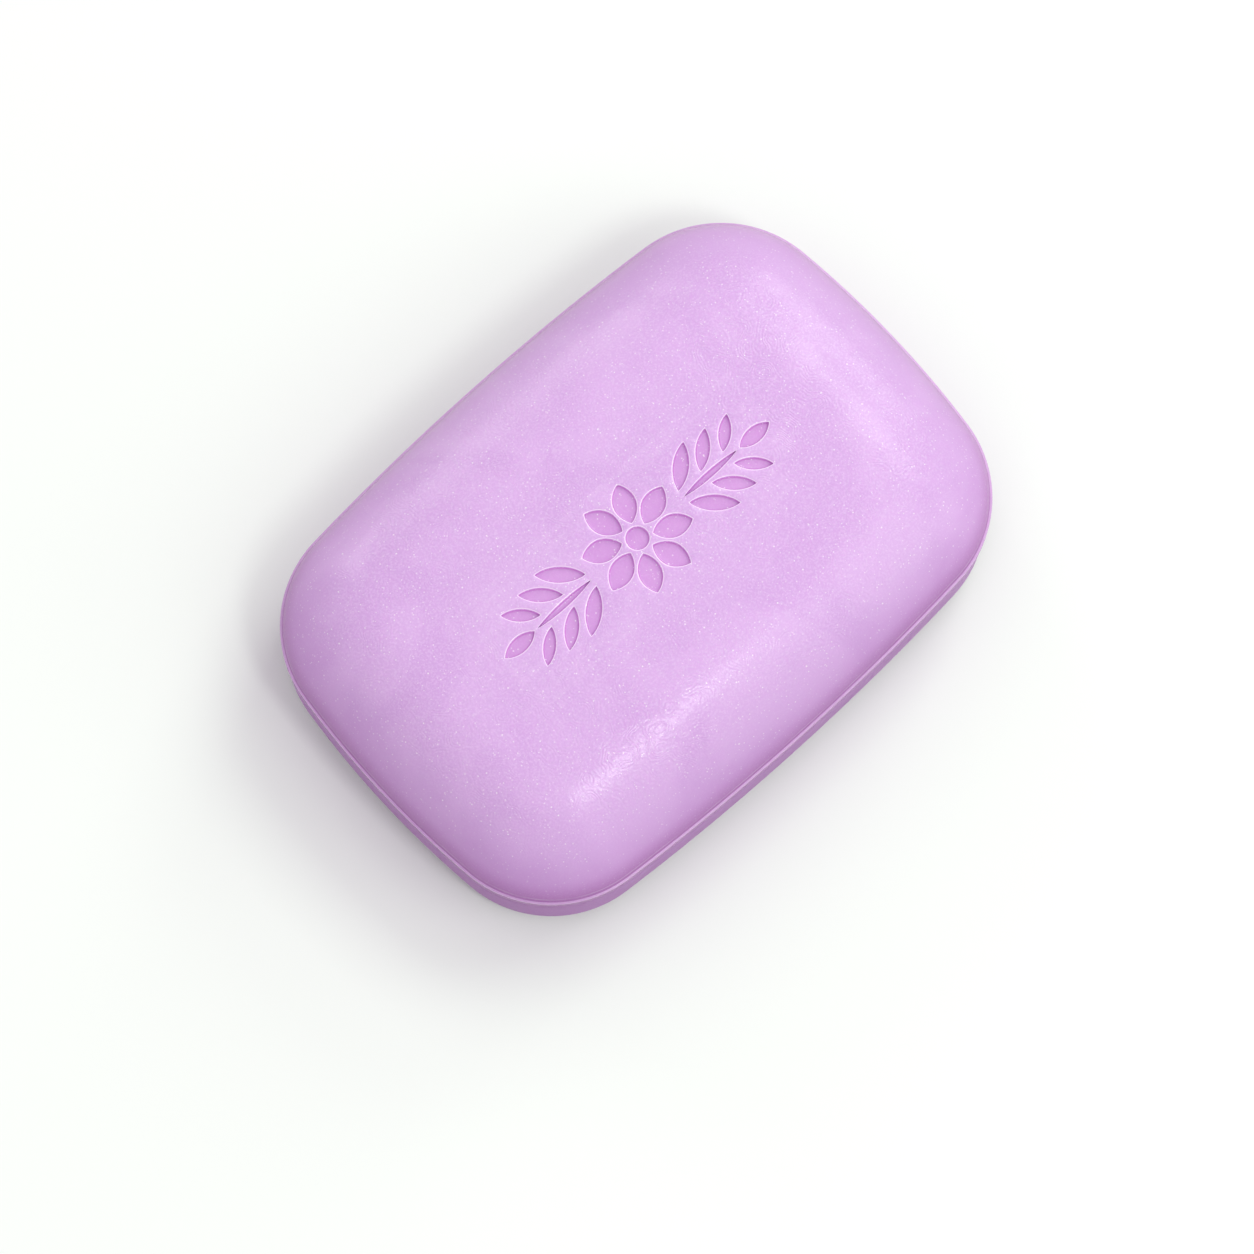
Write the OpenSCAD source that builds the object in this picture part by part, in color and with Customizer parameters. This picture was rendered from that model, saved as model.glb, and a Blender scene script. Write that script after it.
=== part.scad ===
// A bar of toilet soap, stamped in a die of two halves that meet in a narrow land round the girth.
// The bar lies flat: its length runs along X, its width along Y, and the origin is the middle of the
// face that it rests on. Millimetres.

/* [Bar] */
// Length over the land
bar_length = 90.2; // [76:0.2:110]
// Width over the land
bar_width = 63; // [54:0.2:78]
// Thickness, from the resting face to the top of the crown
bar_thickness = 27; // [23:0.5:34]
// Height of the middle of the land above the resting face
parting_height = 13.5; // [10:0.5:16]

/* [Outline from above] */
// Radius of the long sides
side_radius = 350; // [150:5:900]
// Radius of the ends
end_radius = 136; // [80:1:300]
// Radius of the corners at the land
corner_radius = 16.5; // [12:0.1:20]

/* [Land round the girth] */
// Height of the land
land_height = 1.0; // [0.6:0.1:2]
// How far the land stands out past the walls above and below it
land_ledge = 0.3; // [0.1:0.05:0.5]
// Bevel along the two outer edges of the land
land_bevel = 0.12; // [0.05:0.01:0.2]

/* [Upper face] */
// How far in from the wall the upper shoulder ends and the crown starts
shoulder_width = 15.2; // [10:0.2:18]
// How softly the shoulder runs into the crown: 2 is an ellipse, more is softer
crown_ease = 2.5; // [2:0.1:3]
// How upright the shoulder rises from the land: 2 is an ellipse, less leans in sooner
shoulder_spring = 1.5; // [1.4:0.1:2.4]
// How much lower the crown lies at the ends of the bar than in its middle
crown_fall_ends = 3.3; // [0.5:0.1:5]
// How much lower the crown lies at the long sides than in the middle
crown_fall_sides = 3; // [0.5:0.1:6]

/* [Lower face] */
// Height of the plain wall under the land
wall_height = 9; // [4:0.5:10.5]
// How far the plain wall draws in over its height
wall_draft = 0.15; // [0:0.05:0.5]
// How far in from the wall the resting face starts
foot_inset = 8; // [5:0.5:12]
// Fullness of the lower shoulder
foot_fullness = 2.3; // [1.8:0.1:3.2]

/* [Pressed ornament] */
// Depth of the ornament below the crown
ornament_depth = 0.5; // [0.2:0.1:1.2]
// Length of the ornament along the bar, from leaf tip to leaf tip
ornament_length = 46; // [40:1:54]
// Diameter of the rosette in the middle
rosette_size = 15; // [11:0.5:18]
// Number of petals in the rosette
petals = 8; // [5:1:10]
// Width of a petal
petal_width = 3; // [2:0.1:3.5]
// Diameter of the dot in the middle of the rosette
dot_size = 3; // [1.6:0.1:4]
// Gap between two strokes of the ornament that follow each other
stroke_gap = 0.7; // [0.4:0.1:1.2]
// Width of a sprig's stem
stem_width = 0.8; // [0.5:0.1:1.4]
// Pairs of leaves on a sprig
leaf_pairs = 3; // [1:1:3]
// Distance from one pair of leaves to the next
leaf_pitch = 3.9; // [3.2:0.1:4.5]
// Length of a leaf in the pair beside the rosette
leaf_length = 6.4; // [4:0.1:7.4]
// Width of a leaf in the pair beside the rosette
leaf_width = 2; // [1.2:0.1:2.5]
// How much smaller each pair is than the pair before it
leaf_shrink = 0.88; // [0.7:0.02:1]
// Angle between a leaf and the stem
leaf_angle = 42; // [30:1:60]
// Length of the leaf at the tip of a sprig
tip_length = 5; // [3:0.5:7]

/* [Hidden] */

// Steps of the loft: round half of a side, a corner and half of an end, then up each stretch of wall
side_steps = 6;
corner_steps = 9;
end_steps = 3;
shoulder_steps = 9;
foot_steps = 7;
// Shares of the way from the middle at which the crown has a ring of its own
crown_rings = [0.82, 0.62, 0.42, 0.2];
// Share of the crown's size that the level spot on top of it takes
level_spot = 0.08;

// Least radius that a corner keeps where the outline is drawn in further than the corner is round
least_corner = 1;

half_length = bar_length / 2;
half_width = bar_width / 2;
wall_top = parting_height - land_height / 2;
shoulder_base = parting_height + land_height / 2;
crown_rise = bar_thickness - shoulder_base;

// Where two circles about a and b with radii ra and rb meet, on the side away from the origin
function meeting(a, ra, b, rb) =
    let (way = b - a, gap = norm(way), u = way / gap)
    let (along = (gap * gap + ra * ra - rb * rb) / (2 * gap))
    let (off = sqrt(ra * ra - along * along))
    a + along * u + off * [-u.y, u.x];

// A quarter of the outline, drawn in by an inset: an end arc, a corner arc and a side arc, each tangent
// to the next
function quarter(inset) =
    let (end_r = end_radius - inset, side_r = side_radius - inset)
    let (corner = max(corner_radius - inset, least_corner))
    let (end_mid = [half_length - inset - end_r, 0], side_mid = [0, half_width - inset - side_r])
    let (mid = meeting(end_mid, end_r - corner, side_mid, side_r - corner))
    let (turn_end = atan2(mid.y, mid.x - end_mid.x), turn_side = atan2(mid.y - side_mid.y, mid.x))
    concat(
        [for (i = [0:end_steps - 1]) arc_point(end_mid, end_r, turn_end * i / end_steps)],
        [for (i = [0:corner_steps - 1])
            arc_point(mid, corner, turn_end + (turn_side - turn_end) * i / corner_steps)],
        [for (i = [0:side_steps])
            arc_point(side_mid, side_r, turn_side + (90 - turn_side) * i / side_steps)]);

function arc_point(mid, radius, angle) = mid + radius * [cos(angle), sin(angle)];

// The whole outline, from the quarter mirrored about both axes, counterclockwise from the +X end
function outline(inset) =
    let (q = quarter(inset), last = len(q) - 1)
    concat(
        q,
        [for (i = [last - 1:-1:0]) [-q[i].x, q[i].y]],
        [for (i = [1:last]) [-q[i].x, -q[i].y]],
        [for (i = [last - 1:-1:1]) [q[i].x, -q[i].y]]);

// Height of the crown above the shoulder's base, which falls from the middle to the ends and the sides
function crown(p) =
    crown_rise - crown_fall_ends * pow(p.x / half_length, 2) - crown_fall_sides * pow(p.y / half_width, 2);

// Inset and rise of a rounded shoulder at an angle from 0 at the wall to 90 at the face
function shoulder_in(angle, fullness) = 1 - pow(cos(angle), 2 / fullness);
function shoulder_up(angle, fullness) = pow(sin(angle), 2 / fullness);

function flat_ring(inset, z) = [for (p = outline(inset)) [p.x, p.y, z]];

function foot_ring(angle) =
    flat_ring(
        land_ledge + wall_draft + foot_inset * shoulder_in(angle, foot_fullness),
        (wall_top - wall_height) * (1 - shoulder_up(angle, foot_fullness)));

function shoulder_ring(angle) =
    let (inset = land_ledge + shoulder_width * shoulder_in(angle, crown_ease))
    [for (p = outline(inset)) [p.x, p.y, shoulder_base + crown(p) * shoulder_up(angle, shoulder_spring)]];

crown_edge = outline(land_ledge + shoulder_width);

function crown_ring(share) = [for (p = crown_edge * share) [p.x, p.y, shoulder_base + crown(p)]];

// The top of the crown is a small level spot, so that the loft ends in one flat face
top_ring = [for (p = crown_edge * level_spot) [p.x, p.y, bar_thickness]];

rings = concat(
    [for (i = [0:foot_steps]) foot_ring(90 * (1 - i / foot_steps))],
    [
        flat_ring(land_ledge, wall_top),
        flat_ring(land_bevel, wall_top),
        flat_ring(0, wall_top + land_bevel),
        flat_ring(0, shoulder_base - land_bevel),
        flat_ring(land_bevel, shoulder_base)
    ],
    [for (i = [0:shoulder_steps]) shoulder_ring(90 * i / shoulder_steps)],
    [for (share = crown_rings) crown_ring(share)],
    [top_ring]);

// Skin over a stack of rings that all have the same number of points, closed by a face at each end
module loft(stack) {
    count = len(stack[0]);
    last = len(stack) - 1;
    skin = [for (k = [0:last - 1], i = [0:count - 1])
        let (j = (i + 1) % count)
        [k * count + i, (k + 1) * count + i, (k + 1) * count + j, k * count + j]];
    foot = [for (i = [0:count - 1]) i];
    head = [for (i = [count - 1:-1:0]) last * count + i];
    polyhedron([for (ring = stack) each ring], concat(skin, [foot, head]));
}

// A pointed leaf along +X from the origin, the lens between two arcs
module leaf(length, width) {
    bow = (length * length + width * width) / (4 * width);
    translate([length / 2, 0])
        intersection() {
            translate([0, bow - width / 2]) circle(bow, $fn = 72);
            translate([0, width / 2 - bow]) circle(bow, $fn = 72);
        }
}

module rosette() {
    petal_start = dot_size / 2 + stroke_gap;
    circle(d = dot_size, $fn = 32);
    for (i = [0:petals - 1])
        rotate(360 * (i + 0.5) / petals)
            translate([petal_start, 0]) leaf(rosette_size / 2 - petal_start, petal_width);
}

// A sprig along +X, from the rosette to the tip of the ornament
module sprig() {
    stem_start = rosette_size / 2 + stroke_gap;
    tip_start = ornament_length / 2 - tip_length;
    translate([stem_start, 0]) leaf(tip_start - stroke_gap - stem_start, stem_width);
    translate([tip_start, 0]) leaf(tip_length, leaf_width);
    for (i = [0:leaf_pairs - 1], side = [-1, 1]) {
        size = pow(leaf_shrink, i);
        translate([stem_start + leaf_pitch * i, side * (stem_width / 2 + stroke_gap)])
            rotate(side * leaf_angle) leaf(leaf_length * size, leaf_width * size);
    }
}

module ornament() {
    rosette();
    sprig();
    mirror([1, 0]) sprig();
}

// The bar with its ornament pressed to one depth all over, so that its floor follows the crown
module soap_bar() {
    color("plum")
        difference() {
            loft(rings);
            difference() {
                translate([0, 0, parting_height]) linear_extrude(bar_thickness) ornament();
                translate([0, 0, -ornament_depth]) loft(rings);
            }
        }
}

soap_bar();
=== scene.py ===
# %% [markdown]
# A bar of toilet soap, lilac and faintly pearly, lying on a pale floor. The real bar is pressed in a die
# of two halves: a full upper cup, a plainer lower cup, and a narrow land round the girth where the two
# halves of the die met. A generic ornament is pressed into the top.
#
# The frame is the bar as measured solids. It says where the bar lies and how large it is. Here the same
# form is modelled again with a finer skin, and gets its light, its grain and its colour.

# %% Load the frame
import bpy
import bmesh
from math import atan2, cos, degrees, pi, radians, sin
from mathutils import Matrix, Vector


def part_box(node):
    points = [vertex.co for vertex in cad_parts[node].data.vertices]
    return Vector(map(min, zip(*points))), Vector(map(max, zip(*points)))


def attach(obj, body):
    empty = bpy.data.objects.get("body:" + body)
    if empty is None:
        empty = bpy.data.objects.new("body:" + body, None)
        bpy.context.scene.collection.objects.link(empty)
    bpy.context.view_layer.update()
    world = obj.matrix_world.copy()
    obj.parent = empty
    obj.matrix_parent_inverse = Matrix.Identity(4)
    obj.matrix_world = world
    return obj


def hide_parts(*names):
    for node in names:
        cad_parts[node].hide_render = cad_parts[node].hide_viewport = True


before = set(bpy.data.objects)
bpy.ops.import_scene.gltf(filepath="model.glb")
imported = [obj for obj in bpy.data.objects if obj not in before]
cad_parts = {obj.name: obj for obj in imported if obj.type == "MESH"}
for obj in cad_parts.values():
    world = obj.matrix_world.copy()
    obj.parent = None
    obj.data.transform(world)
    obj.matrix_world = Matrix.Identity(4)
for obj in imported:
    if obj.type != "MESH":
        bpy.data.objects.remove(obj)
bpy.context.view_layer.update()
MM = 0.001
bar_low, bar_high = (Vector(corner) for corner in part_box("soap_bar"))
print("bar:", [round(side / MM, 2) for side in bar_high - bar_low], "mm")

# %% [markdown]
# The camera comes first, because every later choice is judged through it. It looks down steeply on the
# bar from its lower left, from more than a metre away through a long lens, so the bar keeps almost
# parallel sides. A slight roll turns the bar in the picture. The camera is built from three unit
# vectors: where it looks, what is right in the picture, and what is up.

# %% Camera
VIEW_AZIMUTH = radians(44)
VIEW_ELEVATION = radians(77.5)
VIEW_ROLL = radians(-1.4)
IMAGE_SIZE = 1254
FOCAL_PIXELS = 8600
PIXELS_PER_MM = 7.69
GIRTH_PIXEL = Vector((636.8, 561.6))
SENSOR_WIDTH = 36
FARTHEST = 10
PARTING_HEIGHT = 13.5 * MM


def add_camera():
    look = Vector((sin(VIEW_AZIMUTH) * cos(VIEW_ELEVATION), cos(VIEW_AZIMUTH) * cos(VIEW_ELEVATION),
                   -sin(VIEW_ELEVATION)))
    level = Vector((cos(VIEW_AZIMUTH), -sin(VIEW_AZIMUTH), 0))
    rise = level.cross(look)
    right = level * cos(VIEW_ROLL) - rise * sin(VIEW_ROLL)
    up = rise * cos(VIEW_ROLL) + level * sin(VIEW_ROLL)
    offset = (GIRTH_PIXEL - Vector((IMAGE_SIZE / 2, IMAGE_SIZE / 2))) / PIXELS_PER_MM * MM
    distance = FOCAL_PIXELS / PIXELS_PER_MM * MM
    place = Vector((0, 0, PARTING_HEIGHT)) - look * distance - right * offset.x + up * offset.y
    camera = bpy.data.objects.new("camera", bpy.data.cameras.new("camera"))
    camera.data.sensor_width = SENSOR_WIDTH
    camera.data.lens = SENSOR_WIDTH * FOCAL_PIXELS / IMAGE_SIZE
    camera.data.clip_end = FARTHEST
    turn = Matrix((right, up, -look)).transposed()
    camera.matrix_world = Matrix.Translation(place) @ turn.to_4x4()
    bpy.context.collection.objects.link(camera)
    bpy.context.scene.camera = camera
    return camera


camera = add_camera()
print("camera at", [round(c, 3) for c in camera.location], "lens", round(camera.data.lens, 1), "mm")

# %% [markdown]
# The bar is measured over the land, and every other line is given as an inset from there and a height
# above the floor. The crown falls away from the middle of the top, so its sizes say how far.

# %% Sizes of the bar
CORNER_RADIUS = 16.5 * MM
SIDE_RADIUS = 350 * MM
END_RADIUS = 136 * MM
LAND_HEIGHT = 1.0 * MM
LAND_LEDGE = 0.3 * MM
SHOULDER_WIDTH = 15.2 * MM
WALL_HEIGHT = 9 * MM
WALL_DRAFT = 0.15 * MM
FOOT_INSET = 8 * MM
CROWN_FALL_ENDS = 3.3 * MM
CROWN_FALL_SIDES = 3 * MM

half_length = bar_high.x
half_width = bar_high.y
wall_top = PARTING_HEIGHT - LAND_HEIGHT / 2
wall_foot = wall_top - WALL_HEIGHT
shoulder_base = PARTING_HEIGHT + LAND_HEIGHT / 2
crown_rise = bar_high.z - shoulder_base
print("land from", round(wall_top / MM, 2), "to", round(shoulder_base / MM, 2), "mm, crown",
      round(crown_rise / MM, 2), "mm above it")

# %% [markdown]
# The skin of the bar starts as a section: the line that a knife would leave on the cut face at the +X end,
# from the edge of the resting face up over the land to the edge of the crown. It is a chain of points.
# The rounded stretches follow a superellipse, which is an ellipse with a little more shoulder. The small
# roundings at the land are quarters of a circle.

# %% Section
LIP = 0.12 * MM
FILLET = 0.14 * MM
CROWN_EASE = 2.5
SHOULDER_SPRING = 1.5
FOOT_FULLNESS = 2.3
FOOT_STEPS, WALL_STEPS, LIP_STEPS, FILLET_STEPS, SHOULDER_STEPS = 16, 4, 4, 4, 30


def quarter_turns(steps):
    """The angles from 0 to 90 degrees, in even steps."""
    return [pi / 2 * i / steps for i in range(steps + 1)]


def section_points():
    """The section from the resting face to the crown, as pairs of inset and height."""
    points = []
    for angle in reversed(quarter_turns(FOOT_STEPS)):
        share = 1 - max(cos(angle), 0) ** (2 / FOOT_FULLNESS)
        height = wall_foot * (1 - sin(angle) ** (2 / FOOT_FULLNESS))
        points.append((LAND_LEDGE + WALL_DRAFT + FOOT_INSET * share, height))
    for i in range(1, WALL_STEPS):
        share = i / WALL_STEPS
        points.append((LAND_LEDGE + WALL_DRAFT * (1 - share), wall_foot + WALL_HEIGHT * share))
    points.append((LAND_LEDGE, wall_top - LIP))
    points.append((LAND_LEDGE, wall_top))
    for angle in quarter_turns(LIP_STEPS):
        points.append((LIP * (1 - sin(angle)), wall_top + LIP * (1 - cos(angle))))
    for angle in quarter_turns(LIP_STEPS):
        points.append((LIP * (1 - cos(angle)), shoulder_base - LIP * (1 - sin(angle))))
    for angle in quarter_turns(FILLET_STEPS):
        points.append((LAND_LEDGE - FILLET * (1 - sin(angle)), shoulder_base + FILLET * (1 - cos(angle))))
    for angle in quarter_turns(SHOULDER_STEPS)[1:]:
        share = 1 - max(cos(angle), 0) ** (2 / CROWN_EASE)
        height = shoulder_base + crown_rise * sin(angle) ** (2 / SHOULDER_SPRING)
        points.append((LAND_LEDGE + SHOULDER_WIDTH * share, height))
    return points


section = section_points()
print("section:", len(section), "points")

# %% [markdown]
# Seen from above, the outline of the bar is made of arcs that run smoothly into each other: a shallow arc
# at the end, a tight one at the corner, a very shallow one along the side. Two arcs run smoothly into each
# other where their middles and the place where they meet are in one line, and that gives the middle of
# the corner.

# %% Arcs of the outline
END_STEPS, CORNER_STEPS, SIDE_STEPS = 8, 24, 14


def outline_arcs():
    """The end, corner and side arcs: the middle of each, the angle that it turns through, its steps."""
    end = Vector((half_length - END_RADIUS, 0))
    side = Vector((0, half_width - SIDE_RADIUS))
    end_reach, side_reach = END_RADIUS - CORNER_RADIUS, SIDE_RADIUS - CORNER_RADIUS
    way = side - end
    along = (way.length_squared + end_reach ** 2 - side_reach ** 2) / (2 * way.length)
    off = (end_reach ** 2 - along ** 2) ** 0.5
    unit = way.normalized()
    corner = end + unit * along + Vector((-unit.y, unit.x)) * off
    turn_end = atan2(corner.y, corner.x - end.x)
    turn_side = atan2(corner.y - side.y, corner.x)
    return ((end, turn_end, END_STEPS), (corner, turn_side - turn_end, CORNER_STEPS),
            (side, pi / 2 - turn_side, SIDE_STEPS))


arcs = outline_arcs()
for middle, angle, steps in arcs:
    print("arc about", [round(c / MM, 2) for c in middle], "mm:", round(degrees(angle), 2), "degrees")

# %% [markdown]
# The section is drawn as by hand, as one point that is extruded from place to place. Turning it about the
# middle of each arc in turn, with Spin, sweeps a quarter of the skin with an even shoulder all round. A
# box with bevelled edges could be made sooner, but its bevels would meet in creases at the corners.

# %% Spin a quarter of the skin
def start_mesh(name):
    """A new plane, in edit mode with all of it selected."""
    bpy.ops.object.select_all(action="DESELECT")
    bpy.ops.mesh.primitive_plane_add(size=1, location=(0, 0, 0))
    piece = bpy.context.object
    piece.name = name
    bpy.ops.object.mode_set(mode="EDIT")
    bpy.ops.mesh.select_all(action="SELECT")
    return piece


def draw_chain(points):
    """Merges the new plane to one point at the origin and extrudes it from place to place."""
    bpy.ops.mesh.merge(type="CENTER")
    bpy.ops.transform.translate(value=points[0])
    for before, after in zip(points, points[1:]):
        bpy.ops.mesh.extrude_vertices_move(TRANSFORM_OT_translate={"value": Vector(after) - Vector(before)})


def spin_quarter():
    skin = start_mesh("soap_skin")
    draw_chain([(half_length - inset, 0, height) for inset, height in section])
    bpy.ops.mesh.select_all(action="SELECT")
    for middle, angle, steps in arcs:
        bpy.ops.mesh.spin(steps=steps, angle=-angle, center=(middle.x, middle.y, 0), axis=(0, 0, 1))
    bpy.ops.object.mode_set(mode="OBJECT")
    return skin


skin = spin_quarter()
spun = [v.co for v in skin.data.vertices]
print("quarter:", len(spun), "points, x from", round(min(p.x for p in spun) / MM, 3), "to",
      round(max(p.x for p in spun) / MM, 3), "y from", round(min(p.y for p in spun) / MM, 3), "to",
      round(max(p.y for p in spun) / MM, 3))

# %% [markdown]
# Mirrored twice, the quarter is the whole bar. The crown and the resting face are still open, so each is
# filled with one flat face. The faces are told which way is out only once the skin is closed.

# %% Mirror and close the skin
SEAM_REACH = 0.02 * MM
SAME_POINT = 0.001 * MM
SAME_LEVEL = 0.01 * MM


def apply_modifier(piece, kind, **settings):
    modifier = piece.modifiers.new(kind.lower(), kind)
    for name, value in settings.items():
        setattr(modifier, name, value)
    bpy.context.view_layer.objects.active = piece
    bpy.ops.object.modifier_apply(modifier=modifier.name)


def close_skin(piece):
    apply_modifier(piece, "MIRROR", use_axis=(True, True, False), merge_threshold=SEAM_REACH)
    bpy.ops.object.mode_set(mode="EDIT")
    bpy.ops.mesh.select_all(action="SELECT")
    bpy.ops.mesh.remove_doubles(threshold=SAME_POINT)
    bpy.ops.mesh.select_mode(type="EDGE")
    for level in (0, bar_high.z):
        bpy.ops.mesh.select_all(action="DESELECT")
        mesh = bmesh.from_edit_mesh(piece.data)
        for edge in mesh.edges:
            edge.select = edge.is_boundary and abs(edge.verts[0].co.z - level) < SAME_LEVEL
        bmesh.update_edit_mesh(piece.data)
        bpy.ops.mesh.edge_face_add()
    bpy.ops.mesh.select_all(action="SELECT")
    bpy.ops.mesh.normals_make_consistent(inside=False)
    bpy.ops.object.mode_set(mode="OBJECT")


close_skin(skin)
print("skin:", len(skin.data.polygons), "faces, largest has",
      max(len(p.vertices) for p in skin.data.polygons), "corners")

# %% [markdown]
# The ornament is pressed while the top is still flat. Every petal, leaf and stem is cut by the same kind
# of tool: a circle pulled into a pointed leaf, extruded downwards in steps that draw in. Its first steps
# leave a rounded rim, because soap comes out of its die with no sharp edge. Then the walls lean a little
# and run into the floor in a soft corner.

# %% A tool for one stroke
ORNAMENT_DEPTH = 0.5 * MM
TOOL_START = 1 * MM
TOOL_CORNERS = 32
LEAF_POINT = 1.7
MOST_DRAWN_IN = 0.34

# Depth below the flat top and inset of the tool's steps, in millimetres: the rounded rim, which is wider
# than the leaf, the wall, and the soft corner that runs into the floor
TOOL_STEPS = ((-0.02, -0.26), (0.006, -0.2), (0.025, -0.12), (0.06, -0.05), (0.12, -0.01),
              (0.26, 0.03), (0.4, 0.08), (0.47, 0.15), (ORNAMENT_DEPTH / MM, 0.26))


def add_leaf_face(length, width, pointed):
    """A flat leaf above the bar, from the origin along X. With pointed=1 it is round."""
    bpy.ops.object.select_all(action="DESELECT")
    bpy.ops.mesh.primitive_circle_add(vertices=TOOL_CORNERS, radius=1, fill_type="NGON", location=(0, 0, 0))
    face = bpy.context.object
    for vertex in face.data.vertices:
        across, share = vertex.co.y, vertex.co.x
        bulge = abs(across) ** pointed * (1 if across > 0 else -1)
        vertex.co = (length / 2 * (1 + share), width / 2 * bulge, bar_high.z + TOOL_START)
    return face


def add_tool(tools, place, turn, length, width, pointed=LEAF_POINT):
    """A leaf-shaped tool that starts at a place and points along the turn."""
    tool = add_leaf_face(length, width, pointed)
    bpy.ops.object.mode_set(mode="EDIT")
    bpy.ops.mesh.select_all(action="SELECT")
    level, drawn = TOOL_START, 0
    for depth, inset in TOOL_STEPS:
        depth, inset = -depth * MM, min(inset * MM, MOST_DRAWN_IN * width)
        bpy.ops.mesh.extrude_region_move(TRANSFORM_OT_translate={"value": (0, 0, depth - level)})
        share_x = (length - 2 * inset) / (length - 2 * drawn)
        share_y = (width - 2 * inset) / (width - 2 * drawn)
        bpy.ops.transform.resize(value=(share_x, share_y, 1), center_override=(length / 2, 0, 0))
        level, drawn = depth, inset
    bpy.ops.mesh.select_all(action="SELECT")
    bpy.ops.mesh.normals_make_consistent(inside=False)
    bpy.ops.object.mode_set(mode="OBJECT")
    tool.rotation_euler = (0, 0, turn)
    tool.location = (place[0], place[1], 0)
    tools.append(tool)


print("tool:", len(TOOL_STEPS), "steps, from", -TOOL_STEPS[0][1], "mm outside the leaf to",
      TOOL_STEPS[-1][1], "mm inside it")

# %% [markdown]
# The ornament is a rosette of eight petals between two sprigs of leaves. A sprig has a stem, a leaf at its
# tip and three pairs of leaves that get smaller on the way there. Neighbouring strokes never touch, so
# each keeps its own rim.

# %% Sizes of the ornament
ORNAMENT_LENGTH = 46 * MM
ROSETTE_SIZE = 15 * MM
PETALS = 8
PETAL_WIDTH = 3 * MM
DOT_SIZE = 3 * MM
STROKE_GAP = 0.7 * MM
STEM_WIDTH = 0.8 * MM
LEAF_PAIRS = 3
LEAF_PITCH = 3.9 * MM
LEAF_LENGTH = 6.4 * MM
LEAF_WIDTH = 2 * MM
LEAF_SHRINK = 0.88
LEAF_ANGLE = radians(42)
TIP_LENGTH = 5 * MM

petal_start = DOT_SIZE / 2 + STROKE_GAP
stem_start = ROSETTE_SIZE / 2 + STROKE_GAP
tip_start = ORNAMENT_LENGTH / 2 - TIP_LENGTH
print("petals from", round(petal_start / MM, 2), "stems from", round(stem_start / MM, 2), "tips from",
      round(tip_start / MM, 2), "mm off the middle")


# %% Make the tools
def make_tools():
    tools = []
    add_tool(tools, (-DOT_SIZE / 2, 0), 0, DOT_SIZE, DOT_SIZE, pointed=1)
    for i in range(PETALS):
        turn = 2 * pi * (i + 0.5) / PETALS
        place = (petal_start * cos(turn), petal_start * sin(turn))
        add_tool(tools, place, turn, ROSETTE_SIZE / 2 - petal_start, PETAL_WIDTH)
    for way, turn in ((1, 0), (-1, pi)):
        add_tool(tools, (way * stem_start, 0), turn, tip_start - STROKE_GAP - stem_start, STEM_WIDTH)
        add_tool(tools, (way * tip_start, 0), turn, TIP_LENGTH, LEAF_WIDTH)
        for i in range(LEAF_PAIRS):
            size = LEAF_SHRINK ** i
            for side in (1, -1):
                place = (way * (stem_start + LEAF_PITCH * i), side * (STEM_WIDTH / 2 + STROKE_GAP))
                lean = side * LEAF_ANGLE if way > 0 else pi - side * LEAF_ANGLE
                add_tool(tools, place, lean, LEAF_LENGTH * size, LEAF_WIDTH * size)
    return tools


def join_tools(tools):
    bpy.ops.object.select_all(action="DESELECT")
    for tool in tools:
        tool.select_set(True)
    bpy.context.view_layer.objects.active = tools[0]
    bpy.ops.object.join()
    bpy.ops.object.transform_apply(location=True, rotation=True, scale=False)
    return tools[0]


tools = make_tools()
print("tools:", len(tools))
tool = join_tools(tools)
print("joined tool:", len(tool.data.polygons), "faces")

# %% [markdown]
# All strokes are cut out of the skin at once, by one Boolean with the joined tool.

# %% Press the ornament
def press_ornament(piece, tool):
    apply_modifier(piece, "BOOLEAN", operation="DIFFERENCE", solver="EXACT", object=tool)
    bpy.data.objects.remove(tool)


press_ornament(skin, tool)
print("pressed:", len(skin.data.polygons), "faces")

# %% [markdown]
# The crown is still flat. Its true form falls away gently from the middle to the ends and the sides. The
# flat faces on top are first cut into small cells, so that they can bend.

# %% Cut the flat faces into cells
CROWN_CELL = 1.5 * MM
FACING_UP = 0.999


def select_flat_top(piece):
    """Selects the crown's flat faces and the ornament's floors, in edit mode."""
    bpy.ops.mesh.select_mode(type="FACE")
    bpy.ops.mesh.select_all(action="DESELECT")
    mesh = bmesh.from_edit_mesh(piece.data)
    for face in mesh.faces:
        on_top = face.calc_center_median().z > bar_high.z - 2 * ORNAMENT_DEPTH
        face.select_set(on_top and face.normal.z > FACING_UP)
    bmesh.update_edit_mesh(piece.data)


def cut_grid(piece, pitch, reach_x, reach_y):
    """Cuts the flat faces on top into cells, as far out as the reach."""
    bpy.context.view_layer.objects.active = piece
    bpy.ops.object.mode_set(mode="EDIT")
    select_flat_top(piece)
    bpy.ops.mesh.quads_convert_to_tris(quad_method="BEAUTY", ngon_method="BEAUTY")
    for normal, reach in ((Vector((1, 0, 0)), reach_x), (Vector((0, 1, 0)), reach_y)):
        count = int(reach / pitch)
        for i in range(-count, count + 1):
            select_flat_top(piece)
            bpy.ops.mesh.bisect(plane_co=normal * i * pitch, plane_no=normal)
    bpy.ops.object.mode_set(mode="OBJECT")


crown_inset = LAND_LEDGE + SHOULDER_WIDTH
cut_grid(skin, CROWN_CELL, half_length - crown_inset, half_width - crown_inset)
print("cut skin:", len(skin.data.polygons), "faces")

# %% [markdown]
# Every point above the land then comes down by its share of the crown's fall, the floors of the ornament
# too, so that they keep their depth. Smooth shading runs over every edge that turns by less than 50
# degrees, with normals that follow the larger faces.

# %% Bend the crown
SHARP_TURN = radians(50)


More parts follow.
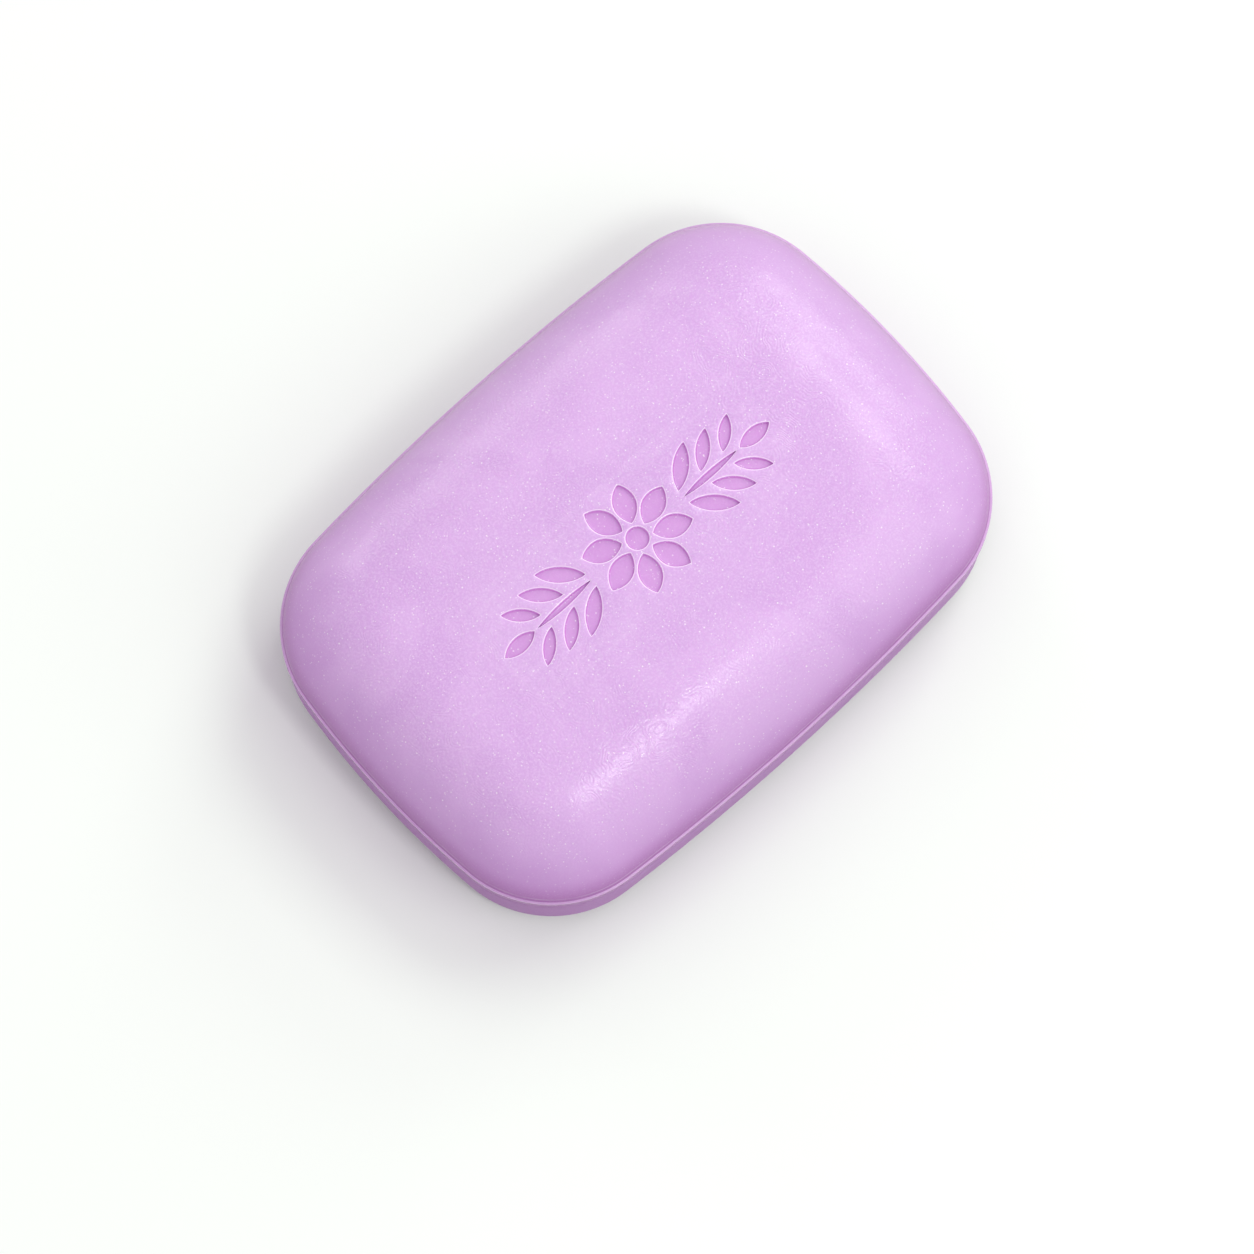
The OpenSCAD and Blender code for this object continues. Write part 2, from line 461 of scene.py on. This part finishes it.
def crown_share(x, y):
    """Height of the crown over the shoulder's base, as a share of its height in the middle."""
    fall = CROWN_FALL_ENDS * (x / half_length) ** 2 + CROWN_FALL_SIDES * (y / half_width) ** 2
    return 1 - fall / crown_rise


def bend_crown(piece):
    for vertex in piece.data.vertices:
        rise = vertex.co.z - shoulder_base
        if rise > 0:
            vertex.co.z = shoulder_base + rise * crown_share(vertex.co.x, vertex.co.y)


bend_crown(skin)
bpy.ops.object.select_all(action="DESELECT")
skin.select_set(True)
bpy.context.view_layer.objects.active = skin
bpy.ops.object.shade_smooth_by_angle(angle=SHARP_TURN)
apply_modifier(skin, "WEIGHTED_NORMAL", mode="FACE_AREA", weight=50, keep_sharp=True)
print("bent skin:", len(skin.data.polygons), "faces, crown at the end",
      round(crown_rise * crown_share(half_length, 0) / MM, 2), "mm above the land")

# %% [markdown]
# Milled soap is a dense, waxy body, clouded and speckled all through. Pictures of soap could be laid over
# the bar, but they would bring their own light and their own seams. So the colour, the grain and the
# finish are worked out from where a point lies on the bar: how high above the floor, and how deep below
# the crown. Each helper adds one kind of node to a material.

# %% Helpers for materials
def add_node(tree, kind, inputs, **settings):
    """A node with its settings, and with each input set to a value or linked to a socket."""
    node = tree.nodes.new(kind)
    for name, value in settings.items():
        setattr(node, name, value)
    for socket, value in inputs.items():
        if isinstance(value, bpy.types.NodeSocket):
            tree.links.new(value, node.inputs[socket])
        else:
            node.inputs[socket].default_value = value
    return node


def add_math(tree, operation, *values):
    return add_node(tree, "ShaderNodeMath", dict(enumerate(values)), operation=operation).outputs[0]


def add_noise(tree, place, scale, detail=2.0, distortion=0.0):
    inputs = {"Vector": place, "Scale": scale, "Detail": detail, "Distortion": distortion}
    return add_node(tree, "ShaderNodeTexNoise", inputs).outputs[0]


def add_range(tree, value, low, high, to_low=0.0, to_high=1.0):
    """Goes softly from one value to another while what is put in goes from low to high."""
    inputs = {"Value": value, "From Min": low, "From Max": high, "To Min": to_low, "To Max": to_high}
    return add_node(tree, "ShaderNodeMapRange", inputs, interpolation_type="SMOOTHSTEP").outputs[0]


def add_band(tree, value, low, high, soft):
    """One between two limits and zero outside, with a soft edge at both."""
    rise = add_range(tree, value, low - soft, low)
    return add_math(tree, "MULTIPLY", rise, add_range(tree, value, high, high + soft, 1, 0))


def add_mix(tree, share, first, second):
    """The first colour where the share is zero, and the second where it is one."""
    inputs = {0: share, 6: first, 7: second}
    return add_node(tree, "ShaderNodeMix", inputs, data_type="RGBA").outputs[2]


# %% [markdown]
# The ornament gets painted shade in its strokes, a painted highlight on its rims, and a finish of its own.
# Its faces could be given a second material, but then the colour would change in hard steps. So the
# material works out how deep each point lies below the crown, by the same sum that bent the crown.

# %% Depth of the ornament
FIELD_LENGTH = ORNAMENT_LENGTH + 2 * MM
FIELD_WIDTH = ROSETTE_SIZE + 2 * MM


def squared_share(tree, value, half_size):
    share = add_math(tree, "DIVIDE", value, half_size)
    return add_math(tree, "MULTIPLY", share, share)


def within(tree, value, half_size):
    return add_math(tree, "LESS_THAN", add_math(tree, "ABSOLUTE", value), half_size)


def pressed_depth(tree, axes):
    """Depth below the crown inside the ornament's field, in millimetres, and zero elsewhere."""
    ends = squared_share(tree, axes["X"], half_length)
    sides = squared_share(tree, axes["Y"], half_width)
    crown = add_math(tree, "MULTIPLY_ADD", ends, -CROWN_FALL_ENDS, bar_high.z)
    crown = add_math(tree, "MULTIPLY_ADD", sides, -CROWN_FALL_SIDES, crown)
    depth = add_math(tree, "DIVIDE", add_math(tree, "SUBTRACT", crown, axes["Z"]), MM)
    depth = add_math(tree, "MULTIPLY", depth, within(tree, axes["X"], FIELD_LENGTH / 2))
    return add_math(tree, "MULTIPLY", depth, within(tree, axes["Y"], FIELD_WIDTH / 2))


print("field of the ornament:", round(FIELD_LENGTH / MM, 1), "by", round(FIELD_WIDTH / MM, 1), "mm")

# %% [markdown]
# The top keeps a fine grain from the die: pits, winding ripples like a fingerprint's, and soft waves. It
# is far too fine to model and only shows where a light is mirrored in it, so a Bump node tilts the light
# as if the grain were there. The ripples are the sine of a noise, which draws the same line again and
# again beside itself. The shoulders are rubbed smooth, and so are the floors of the ornament.

# %% Grain
# Scales are in cells to the metre, and heights in millimetres
PIT_SCALE, PIT_HEIGHT = 3000, 0.024
RIPPLE_SCALE, RIPPLE_LINES, RIPPLE_HEIGHT = 240, 115, 0.008
PATCH_SCALE, PATCH_LEAST = 90, 0.4
WAVE_SCALE, WAVE_HEIGHT = 110, 0.05
GRAIN_LOW, GRAIN_HIGH = 19 * MM, 24.5 * MM
SHOULDER_GRAIN = 0.15
PRESSED_GRAIN = 0.25


def grain_share(tree, level, depth):
    """How much of the grain is there: all of it on the crown, less on the shoulders and in the ornament."""
    upper = add_range(tree, level, GRAIN_LOW, GRAIN_HIGH, SHOULDER_GRAIN, 1)
    return add_math(tree, "MULTIPLY", upper, add_range(tree, depth, 0.1, 0.3, 1, PRESSED_GRAIN))


def grain_height(tree, place, share):
    pits = add_math(tree, "MULTIPLY", add_noise(tree, place, PIT_SCALE), PIT_HEIGHT)
    field = add_noise(tree, place, RIPPLE_SCALE, detail=1.5)
    ripples = add_math(tree, "SINE", add_math(tree, "MULTIPLY", field, RIPPLE_LINES))
    patches = add_range(tree, add_noise(tree, place, PATCH_SCALE), 0.35, 0.6, PATCH_LEAST, 1)
    ripples = add_math(tree, "MULTIPLY", ripples, patches)
    height = add_math(tree, "MULTIPLY_ADD", ripples, RIPPLE_HEIGHT, pits)
    waves = add_noise(tree, place, WAVE_SCALE, detail=1)
    height = add_math(tree, "MULTIPLY_ADD", waves, WAVE_HEIGHT, height)
    return add_math(tree, "MULTIPLY", height, share)


print("grain:", PIT_HEIGHT, "mm pits,", 2 * RIPPLE_HEIGHT, "mm ripples,", WAVE_HEIGHT, "mm waves")

# %% [markdown]
# The body of the soap is nearly even in colour, with faint clouds from the milling. Over it lies painted
# shade, darker and fuller towards the bottom, and a painted shadow in a band round the land. Layers of
# other colours go over it one by one, each through a mask that says where it lies.

# %% Colour of the body
LILAC = (0.68, 0.395, 0.77, 1)
PALE_LILAC = (0.725, 0.44, 0.81, 1)
# Painted shade: the walls darken and fill out in colour towards the bottom
PAINTED_WALL_SHADE = (0.58, 0.26, 0.65, 1)
# Painted shadow in a band round the land
PAINTED_CREASE_SHADE = (0.40, 0.09, 0.42, 1)
CLOUD_SCALE = 65
WALL_LOW, WALL_HIGH = 12 * MM, 22 * MM

# A band is its lower end, its upper end, and the width over which it fades out at both
CREASE_SHADE_BAND = (PARTING_HEIGHT - 1.5 * MM, shoulder_base + 0.3 * MM, 3.5 * MM)


def add_layer(tree, body, colour, mask, strength):
    """Lays a colour over the body where the mask is one, as strongly as the strength says."""
    return add_mix(tree, add_math(tree, "MULTIPLY", mask, strength), body, colour)


def milled_colour_and_painted_shade(tree, place, level):
    """Lilac with faint clouds, with painted shade towards the bottom and a painted shadow round the land.
    """
    clouds = add_range(tree, add_noise(tree, place, CLOUD_SCALE, detail=3, distortion=1.0), 0.35, 0.65)
    body = add_mix(tree, clouds, LILAC, PALE_LILAC)
    # Painted shade towards the bottom, then a painted shadow round the land
    body = add_layer(tree, body, PAINTED_WALL_SHADE, add_range(tree, level, WALL_LOW, WALL_HIGH, 1, 0), 1)
    return add_layer(tree, body, PAINTED_CREASE_SHADE, add_band(tree, level, *CREASE_SHADE_BAND), 0.5)


print("lilac from", LILAC[:3], "to", PALE_LILAC[:3])

# %% [markdown]
# A painted highlight runs along the land's upper edge, with a fainter broken one above it, and another on
# the rims of the ornament. Painted shade gives the ornament's walls and floors a fuller, pinker colour.

# %% Painted highlights on the edges and painted shade in the ornament
# Painted highlight on the land's upper edge and in the broken trace above it
PAINTED_EDGE_HIGHLIGHT = (0.84, 0.62, 0.90, 1)
# Painted shade on the walls and floors of the ornament's strokes
PAINTED_RECESS_SHADE = (0.66, 0.20, 0.67, 1)
# Painted highlight on the ornament's rims
PAINTED_RIM_HIGHLIGHT = (0.93, 0.73, 0.97, 1)
TRACE_SCALE = 150
EDGE_HIGHLIGHT_BAND = (PARTING_HEIGHT + 0.38 * MM, shoulder_base + 0.03 * MM, 0.08 * MM)
TRACE_HIGHLIGHT_BAND = (shoulder_base + 0.75 * MM, shoulder_base + 0.85 * MM, 0.12 * MM)

# Depths below the crown in millimetres
RIM_HIGHLIGHT_BAND = (0.012, 0.035, 0.012)
PRESSED_WALL = (0.05, 0.2)
PRESSED_CORNER = (0.4, 0.49)
FLOOR_SHARE = 0.42


def paint_edge_highlight(tree, place, level, body):
    # Painted highlight along the land's edge and a fainter broken one above it
    broken = add_range(tree, add_noise(tree, place, TRACE_SCALE), 0.4, 0.6, 0.1, 0.5)
    trace = add_math(tree, "MULTIPLY", add_band(tree, level, *TRACE_HIGHLIGHT_BAND), broken)
    edge = add_math(tree, "MAXIMUM", add_band(tree, level, *EDGE_HIGHLIGHT_BAND), trace)
    return add_layer(tree, body, PAINTED_EDGE_HIGHLIGHT, edge, 0.5)


def paint_recess_shade_and_rim_highlight(tree, depth, body):
    """Pinker painted shade on the walls, a little less on the floors, and a painted highlight on the rims.
    """
    # Painted shade on the strokes' walls, less on their floors
    floor = add_range(tree, depth, *PRESSED_CORNER, 1, FLOOR_SHARE)
    pressed = add_math(tree, "MULTIPLY", add_range(tree, depth, *PRESSED_WALL), floor)
    body = add_layer(tree, body, PAINTED_RECESS_SHADE, pressed, 0.7)
    # Painted highlight on the rims of the strokes
    return add_layer(tree, body, PAINTED_RIM_HIGHLIGHT, add_band(tree, depth, *RIM_HIGHLIGHT_BAND), 0.9)


print("pale edge from", round(EDGE_HIGHLIGHT_BAND[0] / MM, 2), "to", round(EDGE_HIGHLIGHT_BAND[1] / MM, 2), "mm high")

# %% [markdown]
# Last comes the speckle: a fine mottle that lies where the grain lies, and round pale specks in two sizes,
# strewn over the top and the shoulders. A Voronoi texture splits the soap into cells, each round a point
# of its own, and the speck lies round that point. Its size is drawn from the cell's chance colour, and
# many come out too small to see.

# %% Mottle and specks
PALE_MOTTLE = (0.84, 0.605, 0.91, 1)
PALE_SPECK = (0.98, 0.90, 0.99, 1)
MOTTLE_SCALE = 3600

# For each size of speck: cells to the metre, largest radius and soft edge in cells, and strength
SPECKS = ((2100, 0.22, 0.06, 0.5), (1300, 0.15, 0.03, 0.65))
STREWN_LOW, STREWN_HIGH = 15 * MM, 21 * MM


def add_specks(tree, place, scale, size, soft, strength):
    cells = add_node(tree, "ShaderNodeTexVoronoi", {"Vector": place, "Scale": scale})
    chance = add_node(tree, "ShaderNodeSeparateColor", {"Color": cells.outputs["Color"]}).outputs[0]
    reach = add_math(tree, "MULTIPLY", chance, size)
    outside = add_math(tree, "SUBTRACT", cells.outputs["Distance"], reach)
    return add_range(tree, outside, -soft, soft, strength, 0)


def speckle(tree, place, level, grain, body):
    mottle = add_range(tree, add_noise(tree, place, MOTTLE_SCALE, detail=1), 0.4, 0.75, 0, 0.4)
    body = add_layer(tree, body, PALE_MOTTLE, mottle, grain)
    small, large = (add_specks(tree, place, *sizes) for sizes in SPECKS)
    strewn = add_range(tree, level, STREWN_LOW, STREWN_HIGH, 0.15, 1)
    return add_layer(tree, body, PALE_SPECK, add_math(tree, "MAXIMUM", small, large), strewn)


print("specks up to", [round(2 * radius / scale / MM, 2) for scale, radius, soft, strength in SPECKS],
      "mm across")

# %% [markdown]
# The upper half has the soft shine of milled soap, and the lower half is duller. Part of the light goes
# under the skin before it comes back, less than a millimetre deep, red and blue further than green. That
# keeps the shadows warm and full of colour, and it takes the edge off the ornament.

# %% Finish
UPPER_ROUGHNESS = 0.22
LOWER_ROUGHNESS = 0.5
DULL_BELOW, SHINY_ABOVE = wall_top - 1 * MM, wall_top + 0.4 * MM


def finish_material():
    material = bpy.data.materials.new("soap_lilac")
    material.use_nodes = True
    tree = material.node_tree
    shader = tree.nodes["Principled BSDF"]
    place = add_node(tree, "ShaderNodeTexCoord", {}).outputs["Object"]
    axes = add_node(tree, "ShaderNodeSeparateXYZ", {"Vector": place}).outputs
    level = axes["Z"]
    depth = pressed_depth(tree, axes)
    grain = grain_share(tree, level, depth)
    body = paint_edge_highlight(tree, place, level, milled_colour_and_painted_shade(tree, place, level))
    body = speckle(tree, place, level, grain, paint_recess_shade_and_rim_highlight(tree, depth, body))
    tree.links.new(body, shader.inputs["Base Color"])
    height = grain_height(tree, place, grain)
    relief = add_node(tree, "ShaderNodeBump", {"Height": height, "Distance": MM, "Strength": 1.0})
    tree.links.new(relief.outputs[0], shader.inputs["Normal"])
    finish = add_range(tree, level, DULL_BELOW, SHINY_ABOVE, LOWER_ROUGHNESS, UPPER_ROUGHNESS)
    tree.links.new(finish, shader.inputs["Roughness"])
    shader.inputs["IOR"].default_value = 1.42
    shader.inputs["Subsurface Weight"].default_value = 0.3
    shader.inputs["Subsurface Radius"].default_value = (1.0, 0.55, 0.9)
    shader.inputs["Subsurface Scale"].default_value = 0.8 * MM
    return material


soap = finish_material()
skin.data.materials.clear()
skin.data.materials.append(soap)
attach(skin, "root")
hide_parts("soap_bar")
print("finish:", soap.name, "with", len(soap.node_tree.nodes), "nodes")

# %% [markdown]
# The floor is plain white where the camera or a mirrored ray meets it, and dark for the light that it
# throws back, so that the walls of the bar keep their shade.

# %% Floor
FLOOR_SIZE = 6
FLOOR_WHITE = (0.93, 0.93, 0.93, 1)
FLOOR_SHADE = (0.15, 0.15, 0.15, 1)


def floor_material():
    """White where it is looked at or mirrored, darker for the light that it throws back on the bar."""
    material = bpy.data.materials.new("white_floor")
    material.use_nodes = True
    tree = material.node_tree
    tree.nodes.clear()
    rays = add_node(tree, "ShaderNodeLightPath", {})
    seen = add_math(tree, "ADD", rays.outputs["Is Camera Ray"], rays.outputs["Is Glossy Ray"])
    seen = add_math(tree, "ADD", seen, rays.outputs["Is Transmission Ray"])
    lit = add_node(tree, "ShaderNodeBsdfDiffuse", {"Color": FLOOR_WHITE}).outputs[0]
    dark = add_node(tree, "ShaderNodeBsdfDiffuse", {"Color": FLOOR_SHADE}).outputs[0]
    either = add_node(tree, "ShaderNodeMixShader", {0: seen, 1: dark, 2: lit}).outputs[0]
    add_node(tree, "ShaderNodeOutputMaterial", {0: either})
    return material


def add_floor():
    bpy.ops.object.select_all(action="DESELECT")
    bpy.ops.mesh.primitive_plane_add(size=FLOOR_SIZE, location=(0, 0, bar_low.z))
    floor = bpy.context.object
    floor.name = "floor"
    floor.data.materials.append(floor_material())
    return floor


floor = add_floor()
print("floor:", FLOOR_SIZE, "m square, with its top at", floor.location.z)

# %% [markdown]
# The world gives an even light from all sides. Softboxes a good metre away add to it all round, the most
# from the right and the front. A narrow strip in front hangs where the near shoulder mirrors it to the
# camera, and draws the long highlight there.

# %% Lights
LAMP_DISTANCE = 1.2
WORLD_STRENGTH = 0.645
FRONT_TINT = (0.94, 1, 0.93)


def add_softbox(name, toward, width, height, power, colour):
    """A soft light in the given direction, which faces the middle of the bar."""
    lamp = bpy.data.lights.new(name, "AREA")
    lamp.shape = "RECTANGLE"
    lamp.size = width
    lamp.size_y = height
    lamp.energy = power
    lamp.color = colour
    holder = bpy.data.objects.new(name, lamp)
    direction = Vector(toward).normalized()
    holder.location = direction * LAMP_DISTANCE
    holder.rotation_euler = direction.to_track_quat("Z", "Y").to_euler()
    bpy.context.collection.objects.link(holder)


add_softbox("front_strip", (0.01, -0.45, 0.89), 0.15, 0.26, 1.9, FRONT_TINT)
add_softbox("front_softbox", (0.2, -0.6, 0.77), 0.6, 0.6, 1.3, FRONT_TINT)
add_softbox("near_softbox", (0.5, -0.8, 0.35), 0.6, 0.6, 1.5, FRONT_TINT)
add_softbox("right_softbox", (0.62, 0.04, 0.77), 0.75, 0.35, 3.3, (0.88, 1, 0.85))
add_softbox("low_softbox", (0.88, 0.22, 0.4), 0.5, 0.5, 2.4, (0.9, 1, 0.88))
add_softbox("left_softbox", (-0.87, -0.3, 0.3), 0.6, 0.6, 0.7, (1, 0.86, 1))
add_softbox("back_softbox", (0.1, 0.93, 0.3), 0.6, 0.6, 1.7, (1, 0.97, 1))

scene = bpy.context.scene
scene.view_settings.view_transform = "Standard"
scene.world = bpy.data.worlds.new("studio")
scene.world.use_nodes = True
background = scene.world.node_tree.nodes["Background"].inputs
background["Color"].default_value = (1, 1, 1, 1)
background["Strength"].default_value = WORLD_STRENGTH
print("lamps:", len(bpy.data.lights), "with", round(sum(lamp.energy for lamp in bpy.data.lights), 1), "W")
